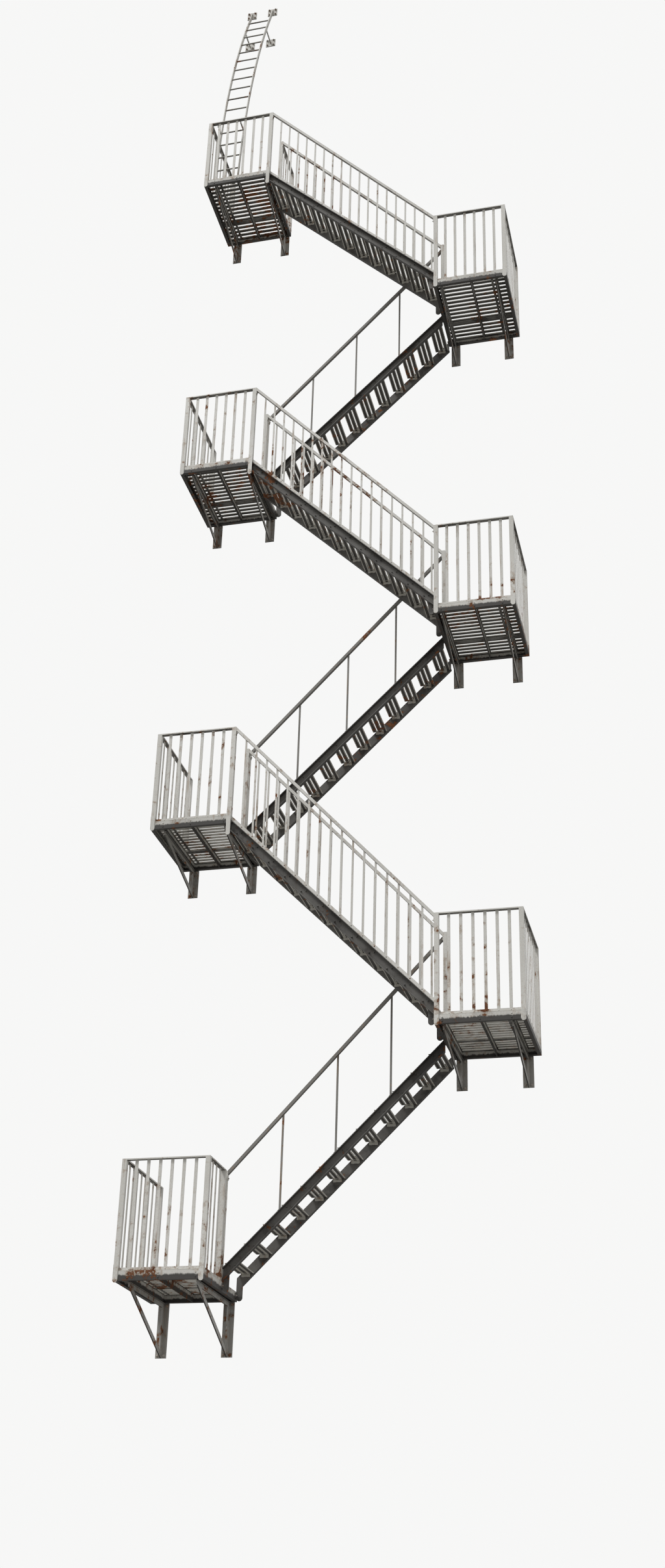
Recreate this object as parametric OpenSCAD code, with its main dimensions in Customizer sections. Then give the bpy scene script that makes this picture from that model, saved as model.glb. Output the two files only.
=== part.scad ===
// Zig-zag wall stair of seven landings and six flights, with a roof ladder.
// X runs along the wall, the wall face is y = 0 and the stair stands out to -Y.
// The origin is the middle of the back face of the lowest left bracket's wall plate.

/* [Stair] */
// Risers in one flight
riser_count = 13; // [10:1:15]
// Height of one riser
riser_h = 195; // [175:1:215]
// Horizontal distance from one tread to the next
going = 195; // [180:1:240]
// Gap between the outer and the inner lane of flights
lane_gap = 30; // [20:1:50]

/* [Landings] */
// Width of a landing along the wall
landing_w = 960; // [850:10:1200]
// Reach of a landing from the wall
landing_d = 1200; // [1150:10:1500]
// Depth of the channel round a landing
edge_h = 90; // [80:1:140]
// Flange of the channel round a landing
edge_flange = 40; // [30:1:50]
// Thickness of the channel round a landing
edge_t = 6; // [4:1:10]
// Width of a bearer's top flange
bearer_flange = 36; // [30:1:60]
// Gap between the outer bearer and the flat that lies beside it
side_flat_gap = 28; // [15:1:40]
// Width of the flat that lies beside the outer bearer
side_flat_w = 30; // [20:1:40]
// Thickness of a floor slat
slat_t = 8; // [6:1:12]
// Width of a floor slat
slat_w = 48; // [40:1:55]
// Number of floor slats between wall and front
slat_count = 17; // [14:1:20]
// Width of the flat that joins the slats at each end of a floor
end_flat_w = 32; // [20:1:40]
// Width of the tie bar that closes one gap of the floor from below
tie_w = 50; // [40:1:60]
// Floor slats in front of the tie bar
slats_to_tie = 12; // [8:1:13]

/* [Landing railings] */
// Top of the railing above the floor
rail_h = 1150; // [1000:10:1250]
// Side of a corner post
post_w = 50; // [45:1:60]
// Side of a post that stands between the lanes
mid_post_w = 40; // [30:1:45]
// Thickness of the top rail
top_rail_t = 14; // [8:1:25]
// Height of the bottom rail above the floor
bottom_rail_z = 0; // [0:1:150]
// Height of the bottom rail's bar
bottom_rail_h = 34; // [20:1:50]
// Width of a landing baluster
bar_w = 34; // [20:1:40]
// Thickness of rail bars and balusters
bar_t = 8; // [6:1:12]
// Widest spacing of landing balusters
bar_pitch = 135; // [100:1:160]
// Thickness of the foot that laps a front post over the frame
foot_t = 8; // [6:1:10]
// Reach of a front post's foot below the floor
foot_drop = 118; // [100:1:140]
// Reach below the floor of the foot beside the top of an outer flight
long_foot_drop = 250; // [200:5:300]
// Reach of a front post's foot above the floor
foot_up = 60; // [40:1:100]

/* [Flights] */
// Depth of a stringer, square to its slope
stringer_depth = 98; // [90:1:160]
// Upright distance from the line of the tread noses down to a stringer's top edge
stringer_drop = 55; // [20:1:60]
// Flange width of a stringer
stringer_flange = 40; // [30:1:45]
// Thickness of a stringer's web and flanges
stringer_t = 8; // [5:1:12]
// Width of the heel that stands a stringer's lower end against the landing's frame
heel_w = 70; // [50:5:90]
// Number of slats in a tread
tread_slats = 3; // [2:1:4]
// Gap between the slats of a tread
tread_gap = 10; // [5:1:15]
// Leg of the angle that carries a tread's end
cleat_leg = 36; // [25:1:40]
// Thickness of the angle that carries a tread's end
cleat_t = 6; // [4:1:8]
// Length by which that angle reaches under the tread's first and last slat
cleat_lap = 12; // [8:1:20]
// Depth of a flight's handrail, square to its slope
handrail_h = 32; // [20:1:40]
// Width of a flight's handrail
handrail_w = 38; // [20:1:40]
// Width of a flight baluster
picket_w = 22; // [15:1:35]
// Balusters along one side of an outer flight
picket_count = 17; // [12:1:20]
// Upright height of the flat at the feet of an outer flight's balusters
foot_flat_h = 52; // [30:1:60]
// Slim posts under the handrail of a flight by the wall
wall_lane_posts = 3; // [2:1:5]

/* [Brackets] */
// Drop of a bracket at the wall
bracket_drop = 350; // [300:10:450]
// Drop of the two brackets under the lowest landing
lower_drop = 560; // [460:10:700]
// Distance of the outer bracket from the landing's outer end
bracket_inset = 150; // [80:5:200]
// Distance of the inner bracket from the landing's flight end
inner_inset = 85; // [60:5:160]
// Reach of a bracket from the wall
bracket_reach = 1120; // [1000:10:1140]
// Depth of a bracket at its front tip
bracket_tip = 45; // [35:1:60]
// Depth of a bracket's arm
arm_h = 50; // [40:1:60]
// Depth of a bracket's strut
strut_h = 55; // [40:1:70]
// Thickness of a bracket's plate
bracket_t = 14; // [10:1:20]
// Width of a bracket's top flange
arm_flange = 32; // [30:1:80]
// Width of a wall plate
plate_w = 120; // [110:5:150]
// Thickness of a wall plate
plate_t = 12; // [8:1:16]
// Diameter of a wall bolt hole
bolt_d = 18; // [14:1:22]
// Distance of a bolt hole from the edge of its wall plate
bolt_edge = 25; // [22:1:28]

/* [Roof ladder] */
// Width of the ladder over its rails
ladder_w = 350; // [320:10:450]
// Middle of the ladder from the landing's left end
ladder_x = 290; // [270:10:450]
// Depth of a ladder rail
ladder_rail_d = 50; // [40:1:60]
// Thickness of a ladder rail
ladder_rail_t = 12; // [8:1:15]
// Gap at the floor between the ladder and the landing's front posts
ladder_gap = 20; // [15:1:80]
// Lean of the ladder towards the wall at its foot, in degrees
ladder_lean = 4; // [3:0.5:6]
// Radius of the sweep that bows the ladder back to the wall, at the middle of the rail
sweep_r = 16500; // [14000:100:18000]
// Diameter of a rung
rung_d = 22; // [18:1:30]
// Distance from one rung to the next
rung_pitch = 290; // [250:5:320]
// Height of the ladder's wall stays above the floor
stay_z = 4130; // [3900:10:4200]
// Height of a stay's bar
stay_h = 40; // [25:1:50]
// Side of a ladder wall plate
ladder_plate = 150; // [145:5:180]

/* [Hidden] */
landing_count = 7;
rise = riser_count * riser_h;
tread_count = riser_count - 1;
run = tread_count * going;
slope = atan(riser_h / going);
front_y = -landing_d;
back_y = -plate_t;
floor_depth = back_y - front_y;
slat_pitch = (floor_depth - slat_w) / (slat_count - 1);
middle_y = (front_y + back_y) / 2;
left_x = -bracket_inset;
right_x = left_x + landing_w + run;
lane_w = (landing_d - plate_t - lane_gap) / 2;
clear_w = lane_w - 2 * (stringer_flange + stringer_t);
handrail_rise = rise / run;
first_deck = lower_drop / 2 + edge_h + slat_t;
// Running gap that keeps neighbouring railing panels apart
joint_gap = 0.4;
// Length by which a cutter passes the face that it cuts
over = 1;
tread_slat_w = (going - tread_gap) / tread_slats - tread_gap;
tread_depth = tread_slats * (tread_slat_w + tread_gap) - tread_gap;
// Middle of a ladder rail at the floor
ladder_y = front_y + post_w + ladder_gap + ladder_rail_d / 2;
// Centre of the ladder's sweep, z from the top floor
sweep_y = ladder_y + sweep_r * cos(ladder_lean);
sweep_z = -sweep_r * sin(ladder_lean);
// Angle of the sweep at which the middle of a rail meets the wall plate
end_angle = acos((sweep_y + plate_t) / sweep_r);
// Radius of the street side of a ladder rail
outer_r = sweep_r + ladder_rail_d / 2;
// Angles of the sweep at which that side meets the floor and the wall plate
foot_angle = asin(-sweep_z / outer_r);
top_angle = acos((sweep_y + plate_t) / outer_r);
// Facets of a full circle of the sweep
sweep_sides = 720;
// Clearance where a bar meets the bowed rail
seat_gap = 0.2;
ladder_left = left_x + ladder_x - ladder_w / 2;
rung_sides = 24;
hole_sides = 48;
paint = "gainsboro";
floor_paint = "lightgray";
tread_paint = "silver";

// Landings are numbered from the bottom: odd ones stand at the left, even ones at the right
function is_left(k) = k % 2 == 1;
function landing_x(k) = is_left(k) ? left_x : right_x;
function deck_z(k) = first_deck + (k - 1) * rise;
// Left landings above the lowest carry the top of an outer flight
function flight_foot_drop(k) = is_left(k) && k > 1 ? long_foot_drop : foot_drop;
function drop_of(k) = k == 1 ? lower_drop : bracket_drop;
// Odd flights run in the lane by the wall, even ones in the outer lane
function lane_y(k) = k % 2 == 1 ? back_y - lane_w : front_y;
// Height of a stringer's top edge and of the handrail, x from the upper landing's edge
function edge_line(x) = -stringer_drop - x * riser_h / going;
function rail_line(x) = rail_h - x * handrail_rise;
// Place across the ladder's sweep at a height above the top floor
function sweep_at(radius, z) = sweep_y - sqrt(pow(radius, 2) - pow(z - sweep_z, 2));

// Block by its corner and size
module block(at, size) {
    translate(at) cube(size);
}

// Flat ring of a rectangle's edge
module ring(width, depth, wall, height) {
    difference() {
        cube([width, depth, height]);
        block([wall, wall, -over], [width - 2 * wall, depth - 2 * wall, height + 2 * over]);
    }
}

// Outline given as x and z, as thick as y_size, with its front face at y_at
module sheet_xz(y_at, y_size) {
    translate([0, y_at + y_size, 0])
        rotate([90, 0, 0])
            linear_extrude(y_size)
                children();
}

// Outline given as y and z, as thick as x_size, with its low face at x_at
module sheet_yz(x_at, x_size) {
    translate([x_at, 0, 0])
        rotate([90, 0, 90])
            linear_extrude(x_size)
                children();
}

// Places a landing's own frame: x from its left end, z from its floor
module at_landing(k) {
    translate([landing_x(k), 0, deck_z(k)])
        children();
}

// Mirrors a landing's frame so that x always counts from the end away from the flights
module from_outer_end(k) {
    at_landing(k)
        translate([is_left(k) ? 0 : landing_w, 0, 0])
            mirror([is_left(k) ? 0 : 1, 0, 0])
                children();
}

// Bearer from front to back, a web with a flange on top
module bearer(x) {
    length = floor_depth - 2 * edge_t;
    block([x - edge_t / 2, front_y + edge_t, -slat_t - edge_h], [edge_t, length, edge_h]);
    block([x - bearer_flange / 2, front_y + edge_t, -slat_t - edge_t],
          [bearer_flange, length, edge_t]);
}

// Flat under the slats, beside the outer bearer
module side_flat() {
    block([bracket_inset + bearer_flange / 2 + side_flat_gap, front_y + edge_t, -slat_t - edge_t],
          [side_flat_w, floor_depth - 2 * edge_t, edge_t]);
}

// Tie bar across the bearers, under one gap between slats
module floor_tie() {
    gap_middle = front_y + slats_to_tie * slat_pitch - (slat_pitch - slat_w) / 2;
    block([edge_t, gap_middle - tie_w / 2, -slat_t - edge_t],
          [landing_w - 2 * edge_t, tie_w, edge_t]);
}

// Channel frame under a landing's floor
module landing_frame(k) {
    color(paint)
        from_outer_end(k) {
            translate([0, front_y, -slat_t - edge_h]) {
                ring(landing_w, floor_depth, edge_t, edge_h);
                ring(landing_w, floor_depth, edge_flange, edge_t);
                translate([0, 0, edge_h - edge_t])
                    ring(landing_w, floor_depth, edge_flange, edge_t);
            }
            for (x = [bracket_inset, landing_w / 2, landing_w - inner_inset])
                bearer(x);
            side_flat();
            floor_tie();
        }
}

// Slatted floor, its slats parallel to the wall and joined by a flat at each end
module landing_floor(k) {
    color(floor_paint)
        from_outer_end(k) {
            for (i = [0 : slat_count - 1])
                block([0, front_y + i * slat_pitch, -slat_t], [landing_w, slat_w, slat_t]);
            for (x = [0, landing_w - end_flat_w])
                block([x, front_y, -slat_t], [end_flat_w, floor_depth, slat_t]);
        }
}

// Vertical bars spread evenly over a length, with no gap wider than bar_pitch
module bars(length, height) {
    count = ceil(length / bar_pitch);
    for (i = [1 : count - 1])
        translate([length * i / count - bar_w / 2, 0])
            square([bar_w, height]);
}

// Railing panel along x, from its first post to its last, at the thickness of a bar
module panel_outline(length) {
    bars_top = rail_h - top_rail_t / 2;
    translate([0, bottom_rail_z])
        square([length, bottom_rail_h]);
    translate([0, bottom_rail_z + bottom_rail_h / 2])
        bars(length, bars_top - bottom_rail_z - bottom_rail_h / 2);
}

// Foot of a front post, lapped over the outside of the frame and rounded below
module post_foot(x, drop) {
    sheet_xz(front_y - foot_t, foot_t)
        translate([x + post_w / 2, post_w / 2 - drop]) {
            circle(d = post_w, $fn = hole_sides);
            translate([-post_w / 2, 0])
                square([post_w, drop - post_w / 2 + foot_up]);
        }
}

// Front railing of a landing, with a corner post at each end
module front_railing(k) {
    for (x = [0, landing_w - post_w])
        block([x, front_y, 0], [post_w, post_w, rail_h - top_rail_t / 2]);
    post_foot(0, foot_drop);
    post_foot(landing_w - post_w, flight_foot_drop(k));
    block([0, front_y, rail_h - top_rail_t], [landing_w, post_w, top_rail_t]);
    sheet_xz(front_y + (post_w - bar_t) / 2, bar_t)
        translate([post_w / 2, 0])
            panel_outline(landing_w - post_w);
}

// Railing square to the wall from y_from to y_to, with a post at the y_to end
module cross_railing(x, width, y_from, y_to) {
    length = y_to - y_from;
    block([x, y_to - mid_post_w, 0], [width, mid_post_w, rail_h - top_rail_t / 2]);
    block([x, y_from, rail_h - top_rail_t], [width, length, top_rail_t]);
    sheet_yz(x + (width - bar_t) / 2, bar_t)
        translate([y_from, 0])
            panel_outline(length - mid_post_w / 2);
}

// Post between the lanes, at the landing's open end
module mid_post(y) {
    block([landing_w - mid_post_w, y, 0], [mid_post_w, mid_post_w, rail_h]);
}

// Railings of a landing: front, outer end and what guards a lane that has no flight
module landing_railing(k) {
    outer_post_y = middle_y - lane_gap / 2 - mid_post_w;
    inner_post_y = middle_y + lane_gap / 2;
    corner_back = front_y + post_w + joint_gap;
    color(paint)
        from_outer_end(k) {
            front_railing(k);
            cross_railing(0, post_w, corner_back, back_y);
            if (k == 1)
                cross_railing(landing_w - post_w, post_w, corner_back,
                              outer_post_y + mid_post_w);
            else
                mid_post(outer_post_y);
            if (k == landing_count)
                cross_railing(landing_w - post_w, post_w, inner_post_y, back_y);
            else
                mid_post(inner_post_y);
        }
}

// Places a flight: x from the upper landing's edge downhill, z from the upper floor
module at_flight(k) {
    upper = k + 1;
    start = is_left(upper) ? left_x + landing_w : right_x;
    translate([start, lane_y(k), deck_z(upper)])
        mirror([is_left(upper) ? 0 : 1, 0, 0])
            children();
}

// Band that follows the flight's slope, with upright ends
module slope_band(shift, depth) {
    upright = depth / cos(slope);
    polygon([[0, edge_line(0) - shift], [run, edge_line(run) - shift],
             [run, edge_line(run) - shift - upright], [0, edge_line(0) - shift - upright]]);
}

// Upright end of a stringer, rounded below, from inside its web to the frame's lower edge
module heel() {
    low = -rise - slat_t - edge_h;
    high = edge_line(run) - heel_w / 2;
    translate([run - heel_w / 2, low + heel_w / 2]) {
        circle(d = heel_w, $fn = hole_sides);
        translate([-heel_w / 2, 0])
            square([heel_w, high - low - heel_w / 2]);
    }
}

// Channel stringer with its flanges on the side away from the treads
module stringer(web_y, flange_y) {
    lower_flange = (stringer_depth - stringer_t) / cos(slope);
    sheet_xz(web_y, stringer_t) {
        slope_band(0, stringer_depth);
        heel();
    }
    sheet_xz(flange_y, stringer_flange + stringer_t) {
        slope_band(0, stringer_t);
        slope_band(lower_flange, stringer_t);
    }
}

// The two stringers of a flight
module flight_stringers(k) {
    color(paint)
        at_flight(k) {
            stringer(stringer_flange, 0);
            stringer(lane_w - stringer_flange - stringer_t,
                     lane_w - stringer_flange - stringer_t);
        }
}

// Angle under one end of a tread, its upright leg against the stringer
module cleat(y, upright_y) {
    start = tread_slat_w - cleat_lap;
    length = tread_depth - 2 * start;
    block([start, y, -slat_t - cleat_t], [length, cleat_leg, cleat_t]);
    block([start, upright_y, -slat_t - cleat_leg], [length, cleat_t, cleat_leg]);
}

// One tread, flat slats across the flight on an angle at each end
module tread() {
    for (i = [0 : tread_slats - 1])
        block([i * (tread_slat_w + tread_gap), 0, -slat_t], [tread_slat_w, clear_w, slat_t]);
    cleat(0, 0);
    cleat(clear_w - cleat_leg, clear_w - cleat_t);
}

// All treads of a flight
module flight_treads(k) {
    color(tread_paint)
        at_flight(k)
            for (i = [1 : tread_count])
                translate([(i - 1) * going + tread_gap, stringer_flange + stringer_t,
                           -i * riser_h])
                    tread();
}

// Bars of one side of a flight, standing on the stringer
module pickets(count) {
    for (i = [1 : count]) {
        x_low = run * i / (count + 1) - picket_w / 2;
        x_high = x_low + picket_w;
        polygon([[x_low, edge_line(x_low)], [x_high, edge_line(x_high)],
                 [x_high, rail_line(x_high) - handrail_h / 2],
                 [x_low, rail_line(x_low) - handrail_h / 2]]);
    }
}

// Sloping flat on the stringer that ties the feet of the balusters
module foot_flat() {
    polygon([[0, edge_line(0)], [run, edge_line(run)],
             [run, edge_line(run) + foot_flat_h], [0, edge_line(0) + foot_flat_h]]);
}

// Railing of one side of a flight, about the middle of the stringer's flange
module flight_side(y, count, barred) {
    upright = handrail_h / cos(atan(handrail_rise));
    sheet_xz(y - bar_t / 2, bar_t) {
        pickets(count);
        if (barred)
            foot_flat();
    }
    sheet_xz(y - handrail_w / 2, handrail_w)
        polygon([[0, rail_line(0)], [run, rail_line(run)],
                 [run, rail_line(run) - upright], [0, rail_line(0) - upright]]);
}

// Railings of a flight: barred on both sides of an outer one, and a bare handrail on
// slim posts at the open side of one by the wall
module flight_railing(k) {
    outer_lane = k % 2 == 0;
    color(paint)
        at_flight(k)
            if (outer_lane) {
                flight_side(stringer_flange / 2, picket_count, true);
                flight_side(lane_w - stringer_flange / 2, picket_count, true);
            } else {
                flight_side(stringer_flange / 2, wall_lane_posts, false);
            }
}

// Upright wall plate with a bolt hole near each corner, its top at z = 0
module wall_plate(width, height) {
    difference() {
        block([-width / 2, back_y, -height], [width, plate_t, height]);
        for (x = [-width / 2 + bolt_edge, width / 2 - bolt_edge])
            for (z = [-bolt_edge, bolt_edge - height])
                translate([x, over, z])
                    rotate([90, 0, 0])
                        cylinder(d = bolt_d, h = plate_t + 2 * over, $fn = hole_sides);
    }
}

// Side outline of a bracket: an arm, a tapering strut and the open triangle between them
module bracket_outline(drop) {
    fall = (drop - bracket_tip) / (bracket_reach - plate_t);
    open_back = plate_t + strut_h;
    open_front = bracket_reach - (arm_h + strut_h - bracket_tip) / fall;
    open_low = bracket_tip - strut_h + fall * (bracket_reach - open_back);
    difference() {
        polygon([[back_y, 0], [-bracket_reach, 0], [-bracket_reach, -bracket_tip],
                 [back_y, -drop]]);
        polygon([[-open_back, -arm_h], [-open_front, -arm_h], [-open_back, -open_low]]);
    }
}

// Bracket with its wall plate, the top of its arm at z = 0
module bracket(drop) {
    wall_plate(plate_w, drop);
    sheet_yz(-bracket_t / 2, bracket_t)
        bracket_outline(drop);
    block([-arm_flange / 2, -bracket_reach, -edge_t],
          [arm_flange, bracket_reach - plate_t, edge_t]);
}

// The two brackets under a landing
module landing_brackets(k) {
    for (x = [bracket_inset, landing_w - inner_inset])
        from_outer_end(k)
            translate([x, 0, -slat_t - edge_h])
                bracket(drop_of(k));
}

// Brackets of the landings first, first + 2 and so on
module brackets(first) {
    color(paint)
        for (k = [first : 2 : landing_count])
            landing_brackets(k);
}

// One ladder rail, bowed in the y and z plane from the floor to the wall plate
module ladder_rail(x) {
    difference() {
        translate([x, sweep_y, sweep_z])
            rotate([90, 0, -90])
                rotate([0, 0, foot_angle])
                    rotate_extrude(angle = top_angle - foot_angle, $fn = sweep_sides)
                        translate([sweep_r - ladder_rail_d / 2, -ladder_rail_t])
                            square([ladder_rail_d, ladder_rail_t]);
        block([x - over, front_y, -landing_d],
              [ladder_rail_t + 2 * over, landing_d, landing_d]);
        block([x - over, back_y, 0],
              [ladder_rail_t + 2 * over, landing_d, sweep_r]);
    }
}

// Rung from rail to rail
module rung(y, z) {
    translate([ladder_rail_t, y, z])
        rotate([0, 90, 0])
            cylinder(d = rung_d, h = ladder_w - 2 * ladder_rail_t, $fn = rung_sides);
}

// The two rails of the roof ladder
module roof_ladder() {
    color(paint)
        translate([ladder_left, 0, deck_z(landing_count)])
            for (x = [0, ladder_w - ladder_rail_t])
                ladder_rail(x);
}

// Rungs of the roof ladder, evenly spaced along its sweep
module ladder_rungs() {
    rung_angle = rung_pitch / sweep_r * 180 / PI;
    color(paint)
        translate([ladder_left, 0, deck_z(landing_count)])
            for (a = [ladder_lean + rung_angle : rung_angle : end_angle - rung_angle / 2])
                rung(sweep_y - sweep_r * cos(a), sweep_z + sweep_r * sin(a));
}

// Bar of a stay's height from the y of near_y to the ladder's sweep at a radius
module bar_to_sweep(x, z, near_y, radius, gap) {
    sheet_yz(x, ladder_rail_t)
        polygon([[near_y, z], [sweep_at(radius, z) + gap, z],
                 [sweep_at(radius, z + stay_h) + gap, z + stay_h], [near_y, z + stay_h]]);
}

// Stay from a ladder rail to its plate on the wall
module ladder_stay(x) {
    bar_to_sweep(x, stay_z, back_y, sweep_r - ladder_rail_d / 2, seat_gap);
    translate([x + ladder_rail_t / 2, 0, stay_z + (stay_h + ladder_plate) / 2])
        wall_plate(ladder_plate, ladder_plate);
}

// Clip between a ladder rail and the landing's front top rail
module rail_clip(x) {
    bar_to_sweep(x, rail_h - stay_h, front_y + post_w, outer_r, -seat_gap);
}

// Stays and clips that hold the ladder, and the plates at its upper ends
module ladder_stays() {
    end_z = sweep_z + sweep_r * sin(end_angle);
    color(paint)
        translate([ladder_left, 0, deck_z(landing_count)])
            for (x = [0, ladder_w - ladder_rail_t]) {
                ladder_stay(x);
                rail_clip(x);
                translate([x + ladder_rail_t / 2, 0, end_z + ladder_plate / 2])
                    wall_plate(ladder_plate, ladder_plate);
            }
}

landing_frame(1);  // landing_1_frame
landing_frame(2);  // landing_2_frame
landing_frame(3);  // landing_3_frame
landing_frame(4);  // landing_4_frame
landing_frame(5);  // landing_5_frame
landing_frame(6);  // landing_6_frame
landing_frame(7);  // landing_7_frame
landing_floor(1);  // landing_1_floor
landing_floor(2);  // landing_2_floor
landing_floor(3);  // landing_3_floor
landing_floor(4);  // landing_4_floor
landing_floor(5);  // landing_5_floor
landing_floor(6);  // landing_6_floor
landing_floor(7);  // landing_7_floor
landing_railing(1);  // landing_1_railing
landing_railing(2);  // landing_2_railing
landing_railing(3);  // landing_3_railing
landing_railing(4);  // landing_4_railing
landing_railing(5);  // landing_5_railing
landing_railing(6);  // landing_6_railing
landing_railing(7);  // landing_7_railing
flight_stringers(1);  // flight_1_stringers
flight_stringers(2);  // flight_2_stringers
flight_stringers(3);  // flight_3_stringers
flight_stringers(4);  // flight_4_stringers
flight_stringers(5);  // flight_5_stringers
flight_stringers(6);  // flight_6_stringers
flight_treads(1);  // flight_1_treads
flight_treads(2);  // flight_2_treads
flight_treads(3);  // flight_3_treads
flight_treads(4);  // flight_4_treads
flight_treads(5);  // flight_5_treads
flight_treads(6);  // flight_6_treads
flight_railing(1);  // flight_1_railing
flight_railing(2);  // flight_2_railing
flight_railing(3);  // flight_3_railing
flight_railing(4);  // flight_4_railing
flight_railing(5);  // flight_5_railing
flight_railing(6);  // flight_6_railing
brackets(1);  // left_brackets
brackets(2);  // right_brackets
roof_ladder();
ladder_rungs();
ladder_stays();
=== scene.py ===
import math
import random

import bmesh
import bpy
from mathutils import Matrix, Vector


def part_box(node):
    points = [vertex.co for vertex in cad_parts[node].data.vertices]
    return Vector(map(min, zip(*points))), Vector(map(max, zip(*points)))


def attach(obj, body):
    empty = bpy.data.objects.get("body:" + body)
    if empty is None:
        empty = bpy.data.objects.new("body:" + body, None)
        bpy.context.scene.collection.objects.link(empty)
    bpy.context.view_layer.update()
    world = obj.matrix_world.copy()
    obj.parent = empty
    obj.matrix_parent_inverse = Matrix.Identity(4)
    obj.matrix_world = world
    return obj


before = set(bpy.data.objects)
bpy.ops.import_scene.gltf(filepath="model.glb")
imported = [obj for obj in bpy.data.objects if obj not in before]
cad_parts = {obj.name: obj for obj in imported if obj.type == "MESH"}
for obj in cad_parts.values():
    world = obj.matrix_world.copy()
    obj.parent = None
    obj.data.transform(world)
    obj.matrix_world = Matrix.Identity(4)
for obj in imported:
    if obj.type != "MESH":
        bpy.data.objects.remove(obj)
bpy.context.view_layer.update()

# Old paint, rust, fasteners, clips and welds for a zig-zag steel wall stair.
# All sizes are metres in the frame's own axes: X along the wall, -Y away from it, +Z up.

rng = random.Random(7)

# Landings
LANDINGS = 7
SLATS = 17
SLAT_W = 0.048
SLAT_T = 0.008
END_FLAT_W = 0.032
BEARER_FLANGE = 0.036
SIDE_FLAT_GAP = 0.028
SIDE_FLAT_W = 0.030
EDGE_H = 0.090
EDGE_T = 0.006
EDGE_FLANGE = 0.040
POST_W = 0.050
MID_POST_W = 0.040
LANE_GAP = 0.030
RAIL_H = 1.150
BOTTOM_RAIL_MIDDLE = 0.017
BAR_T = 0.008
BAR_PITCH = 0.135

# Brackets and wall plates
BRACKET_INSET = 0.150
INNER_INSET = 0.085
BRACKET_REACH = 1.120
BRACKET_TIP = 0.045
BRACKET_T = 0.014
DROP = 0.350
LOWER_DROP = 0.560
PLATE_W = 0.120
PLATE_T = 0.012
BOLT_EDGE = 0.025

# Flights
RISER = 0.195
GOING = 0.195
RUN = 2.340
TREADS = 12
TREAD_SLATS = 3
TREAD_GAP = 0.010
CLEAT_LEG = 0.036
CLEAT_BOLTS = (0.060, 0.115)
STRINGER_FLANGE = 0.040
STRINGER_T = 0.008
STRINGER_DROP = 0.055
FOOT_FLAT_H = 0.052
PICKETS = 17
WALL_LANE_POSTS = 3
HANDRAIL_W = 0.038
END_PLATE_T = 0.007
END_PLATE_WING = 0.048
END_PLATE_IN = 0.004
UPPER_PLATE = (-0.095, -0.060)
LOWER_PLATE = (-0.068, -0.018)
END_BOLT_OUTSIDE = 0.020
END_BOLTS_INSIDE = (0.016, 0.036)
LUG_T = 0.006
LUG_RIM = 0.001
LUG_LOW = 0.098
LUG_HIGH = 0.004
LUG_BOLT = 0.080

# Roof ladder
LADDER_RAIL_T = 0.012
LADDER_RAIL_D = 0.050
LADDER_GAP = 0.020
LADDER_LEAN = math.radians(4)
LADDER_PLATE = 0.150
SWEEP_R = 16.500
RUNG_PITCH = 0.290
STAY_Z = 4.130
STAY_H = 0.040

# Sides, radius at either end and span of the drums of a 16 mm bolt: washer, nut, chamfer, rod
BOLT_PROFILE = ((12, 0.0170, 0.0165, -0.001, 0.003),
                (6, 0.0138, 0.0138, 0.003, 0.013),
                (6, 0.0138, 0.0115, 0.013, 0.0155),
                (8, 0.0078, 0.0070, 0.0155, 0.024))
RIVET_R = 0.009
RIVET_RISE = 0.62

# Smaller fasteners, as shares of that bolt or rivet
CLEAT_BOLT = 0.60
SMALL_BOLT = 0.55
FLOOR_RIVET = 0.80
BAR_RIVET = 0.75
TREAD_RIVET = 0.70
FOOT_FLAT_RIVET = 0.85
RUNG_END = 1.15

# Places of rivets on the frame's edge and on a bracket, from its edges, tip or wall end
FASCIA_RIVET_IN = 0.022
TIP_RIVETS = ((0.045, 0.024), (0.110, 0.030))
WALL_RIVET_IN = 0.045
WALL_RIVET_DEPTH = 0.026
STRUT_RIVET_AT = 0.55
STRUT_RIVET_UP = 0.028

# Clips, shoes and weld beads
CLIP_W = 0.038
CLIP_H = 0.072
CLIP_REACH = 0.060
CLIP_T = 0.006
CLIP_LAP = 0.002
CLIP_BOLT_Z = 0.046
CLIP_BOLT_X = 0.038
SHOE_L = 0.052
SHOE_W = 0.032
SHOE_T = 0.006
SHOE_SEAT = 0.001
WELD_R = 0.0042
WELD_SWELL = 1.22
WELD_STEP = 0.006
WELD_RINGS = 9
WELD_LENGTH = WELD_STEP * (WELD_RINGS - 1)

# Surroundings
FLOOR_Z = -5.3
FLOOR_SIZE = 900.0

DOWN = Vector((0, 0, -1))
UP = Vector((0, 0, 1))
TO_FRONT = Vector((0, -1, 0))
TO_WALL = Vector((0, 1, 0))


class Landing:
    """One landing; x counts from its outer end, z from its floor."""

    def __init__(self, number):
        low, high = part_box(f"landing_{number}_floor")
        self.number = number
        self.inward = 1 if number % 2 else -1
        self.outer = low.x if self.inward > 0 else high.x
        self.width = high.x - low.x
        self.front, self.back = low.y, high.y
        self.middle = (low.y + high.y) / 2
        self.deck = high.z
        self.drop = LOWER_DROP if number == 1 else DROP

    def at(self, x, y, z):
        return Vector((self.outer + self.inward * x, y, self.deck + z))

    def toward(self, x):
        """Direction along the wall, +1 away from the outer end."""
        return Vector((self.inward * x, 0, 0))

    def bracket_lines(self):
        return BRACKET_INSET, self.width - INNER_INSET

    def side_flat(self):
        """Middle of the flat beside the outer bearer."""
        return BRACKET_INSET + BEARER_FLANGE / 2 + SIDE_FLAT_GAP + SIDE_FLAT_W / 2


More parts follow.
